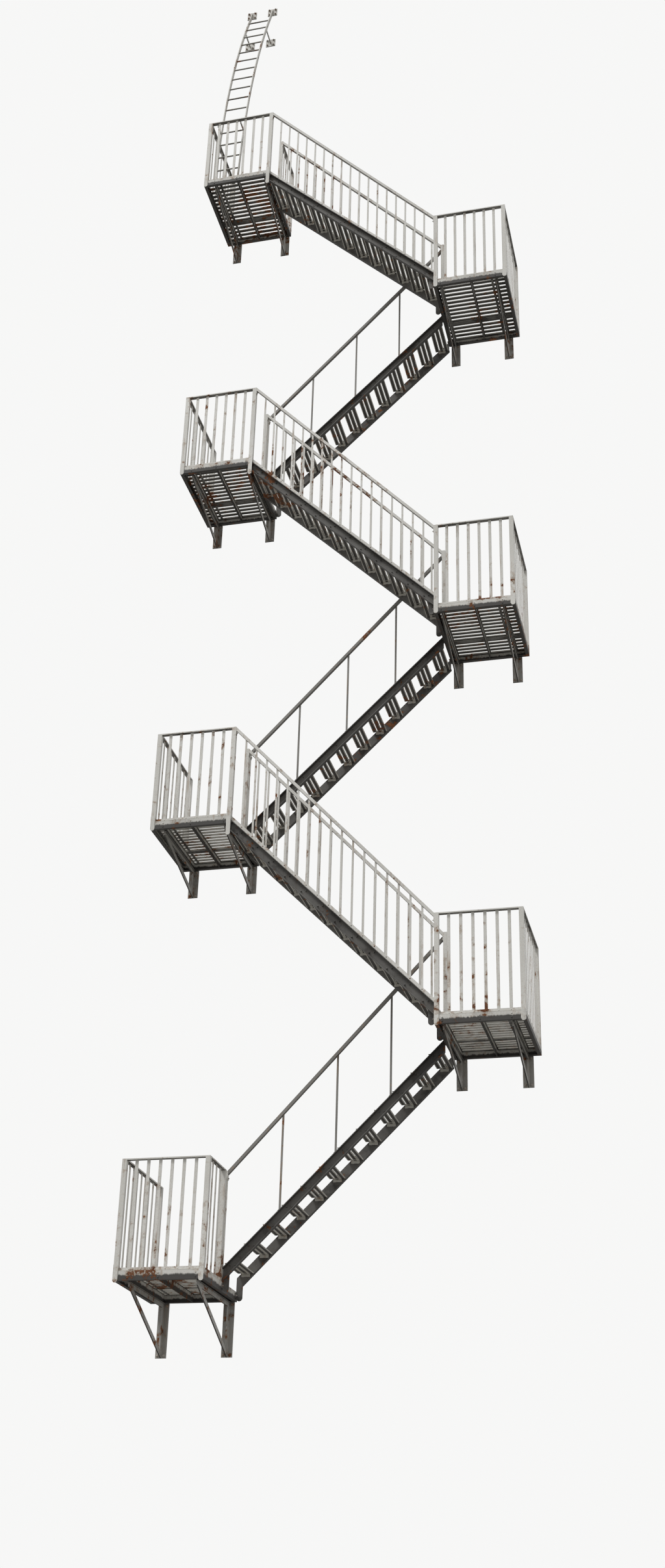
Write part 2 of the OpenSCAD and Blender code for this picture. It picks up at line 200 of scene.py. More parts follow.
class Flight:
    """One flight; x counts downhill from the upper landing's edge, z from its floor."""

    def __init__(self, number, landings):
        low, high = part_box(f"flight_{number}_stringers")
        upper = landings[number]
        self.number = number
        self.start = upper.outer + upper.inward * upper.width
        self.downhill = upper.inward
        self.deck = upper.deck
        self.near, self.lane = low.y, high.y - low.y
        self.outer_lane = number % 2 == 0

    def at(self, x, y, z):
        return Vector((self.start + self.downhill * x, self.near + y, self.deck + z))

    def webs(self):
        """Outer web face of both stringers, with the way it looks."""
        return (STRINGER_FLANGE, TO_FRONT), (self.lane - STRINGER_FLANGE, TO_WALL)

    def railings(self):
        """Middle of each railing and how many bars stand under its handrail."""
        near, far = STRINGER_FLANGE / 2, self.lane - STRINGER_FLANGE / 2
        if self.outer_lane:
            return (near, PICKETS), (far, PICKETS)
        return ((near, WALL_LANE_POSTS),)


landings = [Landing(number) for number in range(1, LANDINGS + 1)]
flights = [Flight(number, landings) for number in range(1, LANDINGS)]
storey = landings[1].deck - landings[0].deck
slope = math.atan(RISER / GOING)
SLAT_PITCH = (landings[0].back - landings[0].front - SLAT_W) / (SLATS - 1)
TREAD_SLAT_W = (GOING - TREAD_GAP) / TREAD_SLATS - TREAD_GAP


class Shade:
    """An output socket of a shader tree. Operators on it add Math nodes."""

    def __init__(self, tree, output=None):
        self.tree = tree
        self.output = output

    def node(self, kind, settings=None, inputs=None, output=0):
        """Adds any other node: its settings first, then its sockets by name or number."""
        made = self.tree.nodes.new("ShaderNode" + kind)
        for name, value in (settings or {}).items():
            if name == "stops":
                fill_ramp(made.color_ramp, value)
            else:
                setattr(made, name, value)
        for name, value in (inputs or {}).items():
            if isinstance(value, Shade):
                self.tree.links.new(value.output, made.inputs[name])
            else:
                made.inputs[name].default_value = value
        return Shade(self.tree, made.outputs[output])

    def maths(self, operation, *values):
        return self.node("Math", {"operation": operation}, dict(enumerate(values)))

    def __add__(self, other):
        return self.maths("ADD", self, other)

    def __sub__(self, other):
        return self.maths("SUBTRACT", self, other)

    def __mul__(self, other):
        return self.maths("MULTIPLY", self, other)

    def __mod__(self, other):
        return self.maths("FLOORED_MODULO", self, other)

    def __neg__(self):
        return self.maths("MULTIPLY", self, -1.0)

    def __rsub__(self, other):
        return self.maths("SUBTRACT", other, self)

    __radd__ = __add__
    __rmul__ = __mul__


def fill_ramp(ramp, stops):
    """Sets a colour ramp's stops from pairs of place and colour."""
    while len(ramp.elements) < len(stops):
        ramp.elements.new(1.0)
    for element, (position, colour) in zip(ramp.elements, stops):
        element.position = position
        element.color = (*colour, 1.0)


def rise_from(value, low, high):
    """0 below low, 1 above high and smooth between."""
    return value.node("MapRange", {"interpolation_type": "SMOOTHSTEP"},
                      {"Value": value, "From Min": low, "From Max": high})


def cloud(place, scale, detail=3.0, roughness=0.55, stretch=(1, 1, 1)):
    """Noise of the given scale a metre, stretched along the axes where asked."""
    moved = place.node("Mapping", None, {"Vector": place, "Scale": stretch})
    return place.node("TexNoise", None, {"Vector": moved, "Scale": scale, "Detail": detail,
                                         "Roughness": roughness})


def blend_colour(share, first, second):
    """Colour between two, by a share from 0 to 1."""
    first = (*first, 1.0) if isinstance(first, tuple) else first
    second = (*second, 1.0) if isinstance(second, tuple) else second
    return share.node("Mix", {"data_type": "RGBA"}, {0: share, 6: first, 7: second}, 2)


RUST_DARK = (0.045, 0.020, 0.012)
RUST_MID = (0.155, 0.060, 0.026)
RUST_BRIGHT = (0.330, 0.140, 0.052)
STAIN = (0.330, 0.225, 0.140)
# Colour of soot, also used for the painted shade under things, on webs and along landing edges
SOOT_AND_SHADE = (0.040, 0.037, 0.034)
BARE_STEEL = (0.260, 0.250, 0.240)

# Width along a slat's edge over which the soot and painted shade below thin out, and how far that
# wanders
PALE_SLAT_EDGE = (0.013, 0.008)
PALE_SLAT_WANDER = 0.012

# Heights above a floor, and below the next one, between which rust fades in
FOOT_RUST = (0.02, 0.30)
BELOW_RUST = (0.75, 0.10)

# Depths below a floor at which the painted shade on a landing's edge begins and ends
EDGE_SHADE_TOP = (0.058, 0.036)
EDGE_SHADE_END = (0.130, 0.120)

# Share of the soot and painted shade that patches of the lower undersides still have, painted
# lighter as if more lit
LOW_SHADE_SHARE = 0.55


def slat_middle(across, width, pitch, noise):
    """1 along the middle of each slat of a row and 0 at its edges, where the soot and painted
    shade below thin out.
    """
    away = across % pitch - width / 2
    away = away.maths("ABSOLUTE", away) + (noise - 0.5) * PALE_SLAT_WANDER
    return 1 - rise_from(away, *(width / 2 - edge for edge in PALE_SLAT_EDGE))


def floor_slats(place, noise):
    across = place.node("SeparateXYZ", None, {0: place}, "Y") - landings[0].front
    return slat_middle(across, SLAT_W, SLAT_PITCH, noise)


def tread_slats(place, noise):
    across = place.node("SeparateXYZ", None, {0: place}, "X") - flights[1].start - TREAD_GAP
    return slat_middle(across % GOING, TREAD_SLAT_W, TREAD_SLAT_W + TREAD_GAP, noise)


def weathered_and_shaded(name, paint, faded, rust=0.0, under_soot_and_shade=0.75, worn=0.0, edge_shade=0.0, sides=0.0,
              slats=None, less_shade_below=None):
    """Old paint on steel: fade, rust blooms in a stain, rusty runs, soot and painted shade below,
    wear on top.

    One argument hangs painted shade along the lower half of a landing's edge, another lays it
    on what doesn't look up; with slats, the soot and painted shade below thin out at the edges
    of a row of slats. Undersides lower than a given height have less, painted lighter as if lit.
    """
    material = bpy.data.materials.new(name)
    material.use_nodes = True
    tree = material.node_tree
    shader = tree.nodes["Principled BSDF"]
    start = Shade(tree)
    place = start.node("TexCoord", output="Object")
    height = start.node("SeparateXYZ", None, {0: place}, "Z")
    facing = start.node("SeparateXYZ", None,
                        {0: start.node("NewGeometry", output="Normal")}, "Z")

    above_floor = (height - landings[0].deck) % storey
    foot = 1 - rise_from(above_floor, *FOOT_RUST)
    under_floor = rise_from(above_floor, *(storey - depth for depth in BELOW_RUST))
    under = rise_from(-facing, 0.30, 0.90)
    top = rise_from(facing, 0.50, 0.90)

    region = cloud(place, 0.55, 3.0)
    patch = cloud(place, 2.6, 5.0, 0.6)
    bloom = cloud(place, 9.0, 8.0, 0.66)
    grain = cloud(place, 70.0, 4.0, 0.6)
    runs = cloud(place, 1.0, 5.0, 0.6, (36, 36, 1.5))

    field = bloom + (region - 0.5) * 0.42 + (patch - 0.5) * 0.5
    field = field + foot * 0.065 + under_floor * 0.03 + under * 0.025 + rust
    core = rise_from(field, 0.655, 0.685)
    stain = rise_from(field, 0.540, 0.680)
    run_mask = rise_from(runs + (patch - 0.5) * 0.7 + foot * 0.04 + rust, 0.57, 0.70)
    run_mask = run_mask * (1 - top)
    # Soot and painted shade on what looks down
    soot_and_shade_mask = under * (0.55 + patch * 0.8) * under_soot_and_shade
    # The soot and painted shade below thin out towards each slat's edges
    if slats:
        soot_and_shade_mask = soot_and_shade_mask * (0.15 + slats(place, patch) * 1.05)
    # Lower undersides keep less of the soot and painted shade, painted lighter as if more lit
    if less_shade_below:
        upper_shade = rise_from(height, less_shade_below - storey / 4, less_shade_below + storey / 4)
        soot_and_shade_mask = soot_and_shade_mask * (upper_shade + rise_from(patch, 0.42, 0.62) * (1 - upper_shade) * LOW_SHADE_SHARE)
    soot_and_shade_mask = soot_and_shade_mask + rise_from(patch + under_floor * 0.08, 0.56, 0.72) * 0.22
    # Painted shade on all that doesn't look up, leaving the tops lighter
    if sides:
        soot_and_shade_mask = soot_and_shade_mask + (1 - top) * (0.70 + patch * 0.4) * sides
    # Painted shade along the lower part of a landing's edge
    if edge_shade:
        edge = above_floor + (runs - 0.5) * 0.05 + (patch - 0.5) * 0.02
        edge_shade_band = 1 - rise_from(edge, *(storey - depth for depth in EDGE_SHADE_TOP))
        edge_shade_band = edge_shade_band * rise_from(above_floor, *(storey - depth for depth in EDGE_SHADE_END))
        soot_and_shade_mask = soot_and_shade_mask + edge_shade_band * edge_shade
    soot_and_shade_mask = soot_and_shade_mask.maths("MINIMUM", soot_and_shade_mask, 0.97)
    wear_mask = rise_from(patch + bloom * 0.6 + worn, 0.98, 1.10) * top

    colour = blend_colour(rise_from(region + (patch - 0.5) * 0.5, 0.36, 0.66), paint, faded)
    colour = blend_colour(rise_from(grain, 0.46, 0.78) * 0.28, colour, STAIN)
    colour = blend_colour(run_mask * 0.50, colour, STAIN)
    colour = blend_colour(stain * 0.62, colour, STAIN)
    # Darkening by soot and painted shade
    colour = blend_colour(soot_and_shade_mask, colour, SOOT_AND_SHADE)
    metal = blend_colour(grain, BARE_STEEL, RUST_MID)
    colour = blend_colour(wear_mask, colour, metal)
    scale = start.node("ValToRGB", {"stops": ((0.30, RUST_DARK), (0.52, RUST_MID),
                                              (0.74, RUST_BRIGHT))},
                       {0: grain * 0.6 + bloom * 0.4})
    colour = blend_colour(core, colour, scale)

    relief = grain * 0.25 + core * (grain * 0.9 + 0.35) + stain * 0.15
    bump = start.node("Bump", None, {"Strength": 0.45, "Distance": 0.004, "Height": relief})
    finish = {"Base Color": colour,
              "Roughness": 0.52 + core * 0.34 + soot_and_shade_mask * 0.15 - wear_mask * 0.10,
              "Metallic": wear_mask * 0.65 * (1 - core),
              "Normal": bump}
    for socket, value in finish.items():
        tree.links.new(value.output, shader.inputs[socket])
    shader.inputs["Specular IOR Level"].default_value = 0.42
    return material


railing_paint = weathered_and_shaded("railing_paint", (0.66, 0.65, 0.61), (0.76, 0.75, 0.71), -0.012, 0.85)
# Darker copy of the railing paint for the inner flights' railings: painted shade
shaded_railing_paint = weathered_and_shaded("shaded_railing_paint", (0.20, 0.195, 0.18), (0.27, 0.265, 0.25), -0.012)
# Frame paint carries painted shade along the lower part of each landing's edge
frame_paint = weathered_and_shaded("frame_paint", (0.62, 0.61, 0.57), (0.72, 0.71, 0.67), 0.0, 0.88,
                        edge_shade=0.97)
# Stringers and brackets get painted shade on what doesn't look up, strongest on the stringers
stringer_paint = weathered_and_shaded("stringer_paint", (0.56, 0.55, 0.51), (0.66, 0.65, 0.61), 0.0,
                           sides=0.97)
bracket_paint = weathered_and_shaded("bracket_paint", (0.46, 0.45, 0.42), (0.55, 0.54, 0.51), 0.008,
                          sides=0.32)
# Floor slats keep less painted shade under the lower landings, painted lighter as if more lit
floor_steel = weathered_and_shaded("floor_steel", (0.50, 0.49, 0.45), (0.60, 0.59, 0.55), 0.0, 0.95, 0.12,
                        slats=floor_slats, less_shade_below=landings[2].deck + storey / 2)
tread_steel = weathered_and_shaded("tread_steel", (0.48, 0.47, 0.43), (0.58, 0.57, 0.53), 0.0, 0.95, 0.16,
                        slats=tread_slats)
ladder_paint = weathered_and_shaded("ladder_paint", (0.58, 0.57, 0.53), (0.68, 0.67, 0.63), 0.0, 0.85)
fastener_steel = weathered_and_shaded("fastener_steel", (0.40, 0.38, 0.35), (0.50, 0.48, 0.45), 0.10, 0.5)
weld_metal = weathered_and_shaded("weld_metal", (0.44, 0.42, 0.39), (0.52, 0.50, 0.47), 0.07, 0.5)

# Finish of a node by a word in its name, the first that fits
NODE_FINISH = (("flight_1_railing", shaded_railing_paint), ("flight_3_railing", shaded_railing_paint),
               ("flight_5_railing", shaded_railing_paint),
               ("stringers", stringer_paint), ("brackets", bracket_paint),
               ("frame", frame_paint), ("floor", floor_steel), ("treads", tread_steel),
               ("ladder", ladder_paint), ("railing", railing_paint))


def dress_frame():
    """Gives every carried-over node its finish."""
    for name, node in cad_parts.items():
        finish = next(finish for word, finish in NODE_FINISH if word in name)
        for holder in node.material_slots:
            holder.material = finish


def keep(shape, name, finish):
    """Turns a finished bmesh into a piece that rides on the stair."""
    bmesh.ops.recalc_face_normals(shape, faces=shape.faces)
    mesh = bpy.data.meshes.new(name)
    shape.to_mesh(mesh)
    shape.free()
    mesh.materials.append(finish)
    piece = bpy.data.objects.new(name, mesh)
    bpy.context.scene.collection.objects.link(piece)
    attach(piece, "root")
    return piece


def pattern(build):
    """Mesh of a small shape that is repeated, made once by its own function."""
    shape = bmesh.new()
    build(shape)
    bmesh.ops.recalc_face_normals(shape, faces=shape.faces)
    mesh = bpy.data.meshes.new(build.__name__)
    shape.to_mesh(mesh)
    shape.free()
    return mesh


def seat(point, outward, scale=1.0, turn=None):
    """Place of a small shape whose own +Z looks outward, turned at random about it."""
    turn = rng.uniform(0, math.tau) if turn is None else turn
    aim = outward.to_track_quat("Z", "Y").to_matrix().to_4x4()
    return Matrix.Translation(point) @ aim @ Matrix.Rotation(turn, 4, "Z") @ Matrix.Scale(scale, 4)


def strew(name, mesh, seats, finish):
    """One piece of many copies of a small mesh, one at each seat."""
    joined = bmesh.new()
    for place in seats:
        copy = mesh.copy()
        copy.transform(place)
        joined.from_mesh(copy)
        bpy.data.meshes.remove(copy)
    return keep(joined, name, finish)


def slab(shape, one, other, rounding=0.0015):
    """Block between two opposite corners, its edges bevelled."""
    size = Vector([abs(a - b) for a, b in zip(one, other)])
    place = Matrix.Translation((Vector(one) + Vector(other)) / 2)
    made = bmesh.ops.create_cube(shape, size=1, matrix=place @ Matrix.Diagonal(size).to_4x4())
    edges = list(dict.fromkeys(edge for vert in made["verts"] for edge in vert.link_edges))
    bmesh.ops.bevel(shape, geom=edges, offset=rounding, segments=1, profile=0.5,
                    affect="EDGES", material=-1)


def drum(shape, sides, radius, end_radius, low, high):
    """Closed round or many-sided drum along Z."""
    bmesh.ops.create_cone(shape, cap_ends=True, segments=sides, radius1=radius,
                          radius2=end_radius, depth=high - low,
                          matrix=Matrix.Translation((0, 0, (low + high) / 2)))


def hex_bolt(shape):
    """Anchor of 16 mm: washer, six-sided nut with a chamfer and the end of its rod."""
    for sides, radius, end_radius, low, high in BOLT_PROFILE:
        drum(shape, sides, radius, end_radius, low, high)


def rivet(shape):
    """Domed rivet head of 18 mm."""
    bmesh.ops.create_uvsphere(shape, u_segments=10, v_segments=6, radius=RIVET_R)
    everything = shape.verts[:] + shape.edges[:] + shape.faces[:]
    bmesh.ops.bisect_plane(shape, geom=everything, plane_co=(0, 0, 0), plane_no=(0, 0, -1),
                           clear_outer=True)
    bmesh.ops.holes_fill(shape, edges=shape.edges[:])
    bmesh.ops.scale(shape, vec=(1, 1, RIVET_RISE), verts=shape.verts[:])


def foot_clip(shape):
    """Angle at the foot of a post: an upright leg at x = 0 and a flat one to +X."""
    half = CLIP_W / 2
    slab(shape, (0, -half, 0), (CLIP_T, half, CLIP_H))
    slab(shape, (CLIP_T - CLIP_LAP, -half, 0), (CLIP_REACH, half, CLIP_T))


def picket_shoe(shape):
    """Small plate under the foot of a flight's bar."""
    slab(shape, (-SHOE_L / 2, -SHOE_W / 2, -SHOE_SEAT), (SHOE_L / 2, SHOE_W / 2, SHOE_T))


def weld_bead(shape):
    """Rippled bead along Z, closed at both ends."""
    ring = bmesh.ops.create_circle(shape, cap_ends=True, segments=6, radius=WELD_R)["verts"]
    edges = list(dict.fromkeys(edge for vert in ring for edge in vert.link_edges))
    for step in range(1, WELD_RINGS):
        swell = WELD_SWELL if step % 2 else 1 / WELD_SWELL
        made = bmesh.ops.extrude_edge_only(shape, edges=edges)["geom"]
        ring = [part for part in made if isinstance(part, bmesh.types.BMVert)]
        edges = [part for part in made if isinstance(part, bmesh.types.BMEdge)]
        bmesh.ops.translate(shape, vec=(0, 0, WELD_STEP), verts=ring)
        bmesh.ops.scale(shape, vec=(swell, swell, 1), verts=ring)
    bmesh.ops.contextual_create(shape, geom=edges)


def wall_bolt_seats():
    """Anchors of every wall plate, brackets first and then the ladder's plates."""
    seats = []
    for landing in landings:
        top = -SLAT_T - EDGE_H
        for line in landing.bracket_lines():
            for side in (-1, 1):
                for z in (top - BOLT_EDGE, top - landing.drop + BOLT_EDGE):
                    x = line + side * (PLATE_W / 2 - BOLT_EDGE)
                    seats.append(seat(landing.at(x, -PLATE_T, z), TO_FRONT))
    reach = LADDER_PLATE / 2 - BOLT_EDGE
    for x in ladder_rails():
        for middle in (STAY_Z + STAY_H / 2, sweep_point(end_angle())[1]):
            for side in (-1, 1):
                for lift in (-1, 1):
                    point = Vector((x + side * reach, -PLATE_T,
                                    landings[-1].deck + middle + lift * reach))
                    seats.append(seat(point, TO_FRONT))
    return seats


def ladder_rails():
    """Middle of both ladder rails along X."""
    low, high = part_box("roof_ladder")
    return low.x + LADDER_RAIL_T / 2, high.x - LADDER_RAIL_T / 2


def ladder_y():
    """Middle of the ladder's rails at the floor."""
    return landings[-1].front + POST_W + LADDER_GAP + LADDER_RAIL_D / 2


def sweep_point(angle):
    """Y and height above the top floor of a point on the ladder's bow."""
    return (ladder_y() + SWEEP_R * (math.cos(LADDER_LEAN) - math.cos(angle)),
            SWEEP_R * (math.sin(angle) - math.sin(LADDER_LEAN)))


def end_angle():
    """Angle of the bow at which the rails meet their wall plates."""
    return math.acos(math.cos(LADDER_LEAN) + (ladder_y() + PLATE_T) / SWEEP_R)


def rung_places():
    """Y and height above the top floor of every rung."""
    step = RUNG_PITCH / SWEEP_R
    count = int((end_angle() - LADDER_LEAN) / step - 0.5)
    return [sweep_point(LADDER_LEAN + step * index) for index in range(1, count + 1)]


def slat_lines(landing):
    """Middle of every floor slat along Y."""
    return [landing.front + SLAT_W / 2 + index * SLAT_PITCH for index in range(SLATS)]


def floor_rivet_seats():
    """Rivets that hold each slat to the bearers and to the flats at its ends."""
    seats = []
    for landing in landings:
        outer, inner = landing.bracket_lines()
        ends = (END_FLAT_W / 2, landing.width - END_FLAT_W / 2)
        for y in slat_lines(landing):
            for x in (*ends, outer, landing.side_flat(), landing.width / 2, inner):
                seats.append(seat(landing.at(x, y, 0), UP, FLOOR_RIVET))
    return seats


def floor_tail_seats():
    """Tails of those rivets below the flanges of the bearers and of the frame."""
    seats = []
    for landing in landings:
        outer, inner = landing.bracket_lines()
        beside = BEARER_FLANGE / 3
        for y in slat_lines(landing)[1:-1]:
            for x in (EDGE_FLANGE / 2, outer - beside, landing.side_flat(), inner + beside,
                      landing.width - EDGE_FLANGE / 2):
                seats.append(seat(landing.at(x, y, -SLAT_T - EDGE_T), DOWN, FLOOR_RIVET))
    return seats


def fascia_rivet_seats():
    """Pairs of rivets where the bearers meet the front of the frame."""
    seats = []
    for landing in landings:
        outer, inner = landing.bracket_lines()
        for x in (outer, landing.width / 2, inner):
            for z in (-SLAT_T - FASCIA_RIVET_IN, FASCIA_RIVET_IN - SLAT_T - EDGE_H):
                seats.append(seat(landing.at(x, landing.front, z), TO_FRONT))
    return seats


def bracket_rivet_seats():
    """Rivets through the brackets, at the tip, at the wall and where strut meets arm."""
    seats = []
    for landing in landings:
        top = -SLAT_T - EDGE_H
        fall = (landing.drop - BRACKET_TIP) / (BRACKET_REACH - PLATE_T)
        wall_end = BRACKET_REACH - WALL_RIVET_IN
        spots = [*TIP_RIVETS, (wall_end, WALL_RIVET_DEPTH),
                 (wall_end, landing.drop - WALL_RIVET_IN)]
        for line in landing.bracket_lines():
            for forward, depth in spots:
                y = -BRACKET_REACH + forward
                for side in (-1, 1):
                    point = landing.at(line + side * BRACKET_T / 2, y, top - depth)
                    seats.append(seat(point, landing.toward(side)))
            middle = -BRACKET_REACH * STRUT_RIVET_AT
            depth = BRACKET_TIP + fall * (BRACKET_REACH + middle) - STRUT_RIVET_UP
            for side in (-1, 1):
                point = landing.at(line + side * BRACKET_T / 2, middle, top - depth)
                seats.append(seat(point, landing.toward(side)))
    return seats


def cross_panels(landing):
    """X and the Y span of each railing panel square to the wall."""
    inner_x, corner = landing.width - POST_W / 2, landing.front + POST_W
    panels = [(POST_W / 2, corner, landing.back)]
    if landing.number == 1:
        panels.append((inner_x, corner, landing.middle - LANE_GAP / 2))
    if landing.number == LANDINGS:
        panels.append((inner_x, landing.middle + LANE_GAP / 2, landing.back))
    return panels


def bar_spots(length):
    """Distances of a landing panel's bars from its start."""
    count = math.ceil(length / BAR_PITCH)
    return [length * index / count for index in range(1, count)]


def bar_rivet_seats():
    """Rivets that tie each landing bar to the bottom rail, on both faces."""
    seats = []
    for landing in landings:
        z = BOTTOM_RAIL_MIDDLE
        for spot in bar_spots(landing.width - POST_W):
            for side, way in ((-1, TO_FRONT), (1, TO_WALL)):
                y = landing.front + POST_W / 2 + side * BAR_T / 2
                seats.append(seat(landing.at(POST_W / 2 + spot, y, z), way, BAR_RIVET))
        for x, start, end in cross_panels(landing):
            for spot in bar_spots(end - start - MID_POST_W / 2):
                for side in (-1, 1):
                    point = landing.at(x + side * BAR_T / 2, start + spot, z)
                    seats.append(seat(point, landing.toward(side), BAR_RIVET))
    return seats


def post_feet(landing):
    """Foot of each post with the way its clip points, as x, y and a heading in degrees."""
    to_post = (LANE_GAP + MID_POST_W) / 2
    inside = landing.width - MID_POST_W
    feet = [(POST_W, landing.back - MID_POST_W / 2, 0)]
    if landing.number != 1:
        feet.append((landing.width - POST_W / 2, landing.front + POST_W, 90))
        feet.append((inside, landing.middle - to_post, 180))
    if landing.number != LANDINGS:
        feet.append((inside, landing.middle + to_post, 180))
    return feet


def clip_seats():
    """Angles at the feet of the railing posts and of the ladder's rails."""
    seats = []
    for landing in landings:
        for x, y, heading in post_feet(landing):
            if landing.inward < 0:
                heading = 180 - heading
            turn = Matrix.Rotation(math.radians(heading), 4, "Z")
            seats.append(Matrix.Translation(landing.at(x, y, 0)) @ turn)
    left_rail, right_rail = ladder_rails()
    for x, heading in ((left_rail - LADDER_RAIL_T / 2, 180), (right_rail + LADDER_RAIL_T / 2, 0)):
        turn = Matrix.Rotation(math.radians(heading), 4, "Z")
        foot = Vector((x, ladder_y(), landings[-1].deck))
        seats.append(Matrix.Translation(foot) @ turn)
    return seats


def clip_bolt_seats():
    """Two small bolts in every foot clip."""
    upright = seat(Vector((CLIP_T, 0, CLIP_BOLT_Z)), Vector((1, 0, 0)), SMALL_BOLT, turn=0.3)
    flat = seat(Vector((CLIP_BOLT_X, 0, CLIP_T)), UP, SMALL_BOLT, turn=0.1)
    return [place @ bolt for place in clip_seats() for bolt in (upright, flat)]


def tread_places():
    """Uphill edge and height of every tread, from the upper landing."""
    return [((step - 1) * GOING + TREAD_GAP, -step * RISER) for step in range(1, TREADS + 1)]


def cleat_bolt_seats():
    """Two bolts through the stringer for each end of each tread."""
    seats = []
    for flight in flights:
        for x, z in tread_places():
            for y, way in flight.webs():
                for along in CLEAT_BOLTS:
                    spot = flight.at(x + along, y, z - SLAT_T - CLEAT_LEG / 2)
                    seats.append(seat(spot, way, CLEAT_BOLT))
    return seats


def tread_rivet_seats():
    """One rivet at each end of each tread slat."""
    inset = STRINGER_FLANGE + STRINGER_T + CLEAT_LEG / 2
    seats = []
    for flight in flights:
        for x, z in tread_places():
            for index in range(TREAD_SLATS):
                along = x + index * (TREAD_SLAT_W + TREAD_GAP) + TREAD_SLAT_W / 2
                for y in (inset, flight.lane - inset):
                    seats.append(seat(flight.at(along, y, z), UP, TREAD_RIVET))
    return seats


def bar_feet(flight):
    """Place of each bar of a flight's railings at the top edge of its stringer."""
    for y, count in flight.railings():
        for index in range(1, count + 1):
            x = RUN * index / (count + 1)
            yield x, y, -STRINGER_DROP - x * RISER / GOING


def shoe_seats():
    """Plates under the feet of the slim posts, lying on the sloping flange."""
    seats = []
    for flight in flights:
        if not flight.outer_lane:
            tilt = Matrix.Rotation(slope * flight.downhill, 4, "Y")
            for x, y, z in bar_feet(flight):
                seats.append(Matrix.Translation(flight.at(x, y, z)) @ tilt)
    return seats


def foot_flat_rivet_seats():
    """Rivets through each baluster's foot and the sloping flat, on both faces."""
    seats = []
    for flight in flights:
        if flight.outer_lane:
            for x, y, z in bar_feet(flight):
                for side, way in ((-1, TO_FRONT), (1, TO_WALL)):
                    point = flight.at(x, y + side * BAR_T / 2, z + FOOT_FLAT_H / 2)
                    seats.append(seat(point, way, FOOT_FLAT_RIVET))
    return seats


def stringer_ends():
    """X of a plate's far side, its x span and z span at both ends of a flight."""
    lower = [z - storey for z in LOWER_PLATE]
    return ((1, 0, END_PLATE_T, *UPPER_PLATE), (-1, RUN - END_PLATE_T, RUN, *lower))


def end_plates():
    """Plate at each end of each stringer, bolted to the frame of the landing."""
    shape = bmesh.new()
    for flight in flights:
        for near, far in stringer_end_spans(flight):
            for _, start, end, low, high in stringer_ends():
                slab(shape, flight.at(start, near, low), flight.at(end, far, high))
    return keep(shape, "stringer_end_plates", stringer_paint)


def stringer_end_spans(flight):
    """Y span of the plate on each stringer's end: its flange and a wing inside."""
    reach = STRINGER_FLANGE + STRINGER_T + END_PLATE_WING
    return (END_PLATE_IN, reach), (flight.lane - reach, flight.lane - END_PLATE_IN)


def end_bolt_seats():
    """Bolts of the stringers' end plates, two inside the flight and one in the channel."""
    seats = []
    inside = STRINGER_FLANGE + STRINGER_T
    for flight in flights:
        offsets = (END_BOLT_OUTSIDE, *(inside + bolt for bolt in END_BOLTS_INSIDE))
        for y in (*offsets, *(flight.lane - offset for offset in offsets)):
            for way, start, end, low, high in stringer_ends():
                outward = Vector((way * flight.downhill, 0, 0))
                face = end if way > 0 else start
                seats.append(seat(flight.at(face, y, (low + high) / 2), outward, SMALL_BOLT))
    return seats


def handrail_lugs():
    """Flat lug behind each end of each handrail, on the face of its post."""
    shape = bmesh.new()
    half = HANDRAIL_W / 2 + LUG_RIM
    for flight in flights:
        for y, _ in flight.railings():
            for x, fall in ((0, 0), (RUN - LUG_T, -storey)):
                slab(shape, flight.at(x, y - half, RAIL_H - LUG_LOW + fall),
                     flight.at(x + LUG_T, y + half, RAIL_H - LUG_HIGH + fall))
    return keep(shape, "handrail_lugs", railing_paint)


def lug_bolt_seats():
    """One bolt under the handrail in each lug."""
    seats = []
    for flight in flights:
        for y, _ in flight.railings():
            for x, fall, way in ((LUG_T, 0, 1), (RUN - LUG_T, -storey, -1)):
                outward = Vector((way * flight.downhill, 0, 0))
                seats.append(seat(flight.at(x, y, RAIL_H - LUG_BOLT + fall), outward, SMALL_BOLT))
    return seats


def rung_end_seats():
    """Peened ends of the rungs on the outer faces of the ladder's rails."""
    left_rail, right_rail = ladder_rails()
    seats = []
    for y, z in rung_places():
        for x, side in ((left_rail - LADDER_RAIL_T / 2, -1), (right_rail + LADDER_RAIL_T / 2, 1)):
            point = Vector((x, y, landings[-1].deck + z))
            seats.append(seat(point, Vector((side, 0, 0)), RUNG_END))
    return seats


def weld_seats():
    """Beads down both sides of each bracket's plate, where it meets the wall plate."""
    seats = []
    for landing in landings:
        top = landing.deck - SLAT_T - EDGE_H
        for line in landing.bracket_lines():
            for side in (-1, 1):
                for index in range(int(landing.drop / WELD_LENGTH)):
                    z = top - landing.drop + index * WELD_LENGTH
                    point = landing.at(line + side * BRACKET_T / 2, -PLATE_T, 0)
                    seats.append(Matrix.Translation((point.x, point.y, z)))
    return seats


def foot_weld_seats():
    """Beads down both sides of each front post's foot, on the outside of the frame."""
    seats = []
    for landing in landings:
        lowest = landing.deck - SLAT_T - EDGE_H
        for x in (POST_W, landing.width - POST_W):
            for index in range(int(EDGE_H / WELD_LENGTH)):
                point = landing.at(x, landing.front, 0)
                seats.append(Matrix.Translation((point.x, point.y,
                                                 lowest + EDGE_T + index * WELD_LENGTH)))
    return seats


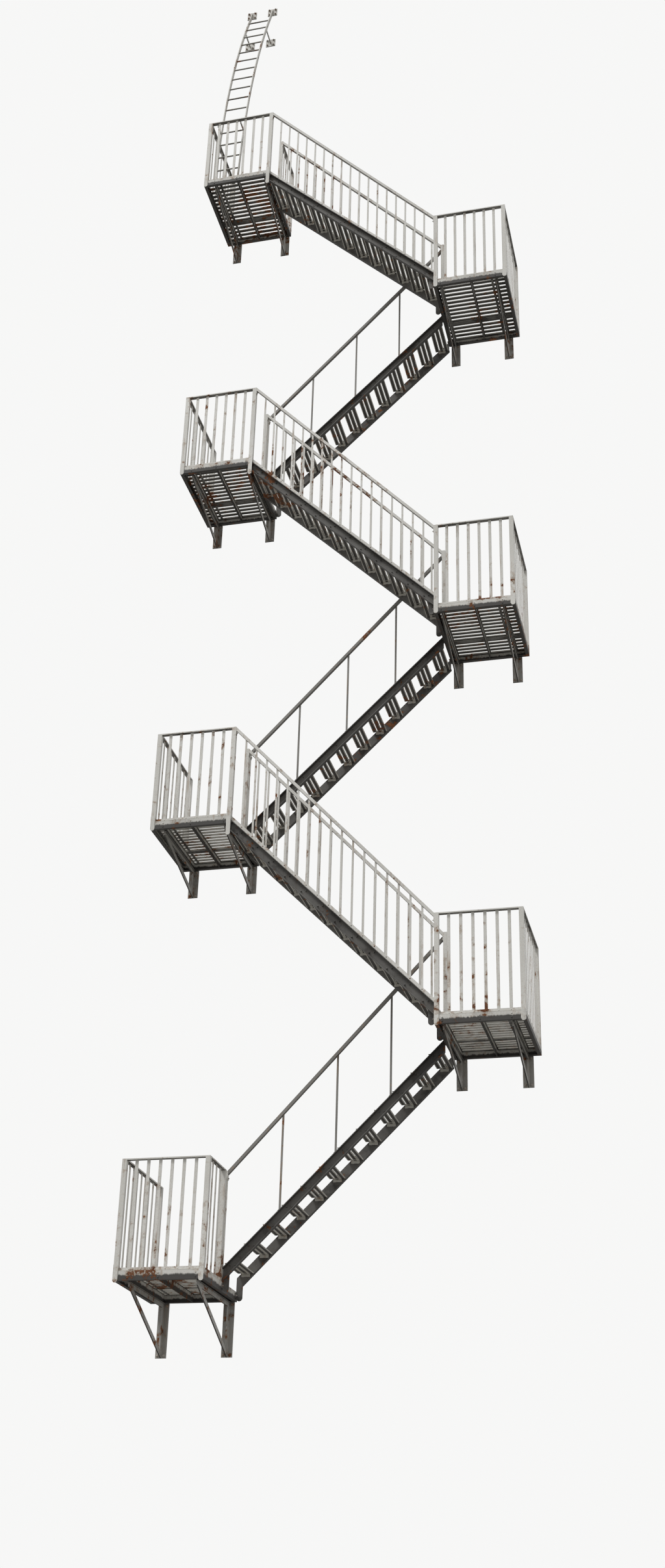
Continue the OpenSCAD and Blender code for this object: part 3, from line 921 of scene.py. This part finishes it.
def add_fasteners():
    bolt, head = pattern(hex_bolt), pattern(rivet)
    strew("wall_bolts", bolt, wall_bolt_seats(), fastener_steel)
    strew("cleat_bolts", bolt, cleat_bolt_seats(), stringer_paint)
    strew("end_plate_bolts", bolt, end_bolt_seats(), fastener_steel)
    strew("lug_bolts", bolt, lug_bolt_seats(), fastener_steel)
    strew("clip_bolts", bolt, clip_bolt_seats(), fastener_steel)
    strew("floor_rivets", head, floor_rivet_seats(), floor_steel)
    strew("floor_rivet_tails", head, floor_tail_seats(), railing_paint)
    strew("fascia_rivets", head, fascia_rivet_seats(), frame_paint)
    strew("bracket_rivets", head, bracket_rivet_seats(), bracket_paint)
    strew("foot_flat_rivets", head, foot_flat_rivet_seats(), fastener_steel)
    strew("bar_rivets", head, bar_rivet_seats(), railing_paint)
    strew("tread_rivets", head, tread_rivet_seats(), tread_steel)
    strew("rung_ends", head, rung_end_seats(), ladder_paint)


def add_fittings():
    strew("foot_clips", pattern(foot_clip), clip_seats(), railing_paint)
    strew("picket_shoes", pattern(picket_shoe), shoe_seats(), shaded_railing_paint)
    bead = pattern(weld_bead)
    strew("bracket_welds", bead, weld_seats(), weld_metal)
    strew("foot_welds", bead, foot_weld_seats(), railing_paint)
    end_plates()
    handrail_lugs()


def flat_material(name, seen, lit):
    """Plain stage finish: one tone for the camera, another for the light that it returns."""
    material = bpy.data.materials.new(name)
    material.use_nodes = True
    tree = material.node_tree
    shader = tree.nodes["Principled BSDF"]
    start = Shade(tree)
    ray = start.node("LightPath", output="Is Camera Ray")
    colour = blend_colour(ray, lit, seen)
    tree.links.new(colour.output, shader.inputs["Base Color"])
    shader.inputs["Roughness"].default_value = 0.9
    return material


FLOOR_SEEN = (0.86, 0.855, 0.84)
FLOOR_LIT = (0.34, 0.335, 0.32)


def add_floor():
    """Pale plain floor, lower than the camera."""
    shape = bmesh.new()
    bmesh.ops.create_grid(shape, x_segments=1, y_segments=1, size=FLOOR_SIZE / 2,
                          matrix=Matrix.Translation((0, 0, FLOOR_Z)))
    mesh = bpy.data.meshes.new("floor")
    shape.to_mesh(mesh)
    shape.free()
    mesh.materials.append(flat_material("floor_pale", FLOOR_SEEN, FLOOR_LIT))
    floor = bpy.data.objects.new("floor", mesh)
    bpy.context.scene.collection.objects.link(floor)


SKY_STRENGTH = 0.50
BACKDROP = (0.93, 0.93, 0.925)
SUN_STRENGTH = 1.9
SUN_SOFTNESS = math.radians(14)
SUN_TILT = math.radians(33)
SUN_TURN = math.radians(-48)


def add_light():
    """Even sky light and one soft sun from the upper left; the backdrop is pale."""
    world = bpy.data.worlds.new("studio")
    world.use_nodes = True
    bpy.context.scene.world = world
    tree = world.node_tree
    start = Shade(tree)
    seen = start.node("LightPath", output="Is Camera Ray")
    seen = seen.maths("MAXIMUM", seen, start.node("LightPath", output="Is Glossy Ray"))
    seen = seen.maths("MAXIMUM", seen, start.node("LightPath", output="Is Transmission Ray"))
    sky = (SKY_STRENGTH,) * 3
    background = tree.nodes["Background"]
    tree.links.new(blend_colour(seen, sky, BACKDROP).output, background.inputs["Color"])
    sun = bpy.data.lights.new("sun", "SUN")
    sun.energy = SUN_STRENGTH
    sun.angle = SUN_SOFTNESS
    lamp = bpy.data.objects.new("sun", sun)
    lamp.rotation_euler = (SUN_TILT, 0, SUN_TURN)
    bpy.context.scene.collection.objects.link(lamp)


CAMERA_PLACE = (6.328, -17.986, -3.350)
CAMERA_ANGLES = (117.645, -1.520, 13.696)
CAMERA_LENS = 39.87
SENSOR_HEIGHT = 36.0
FARTHEST_SEEN = 500.0


def add_camera():
    """Camera low on the right, looking up at the stair."""
    data = bpy.data.cameras.new("camera")
    data.sensor_fit = "VERTICAL"
    data.sensor_height = SENSOR_HEIGHT
    data.lens = CAMERA_LENS
    data.clip_end = FARTHEST_SEEN
    camera = bpy.data.objects.new("camera", data)
    camera.location = CAMERA_PLACE
    camera.rotation_euler = [math.radians(angle) for angle in CAMERA_ANGLES]
    bpy.context.scene.collection.objects.link(camera)
    bpy.context.scene.camera = camera


bpy.context.scene.view_settings.view_transform = "Standard"
add_camera()
dress_frame()
add_fasteners()
add_fittings()
add_floor()
add_light()
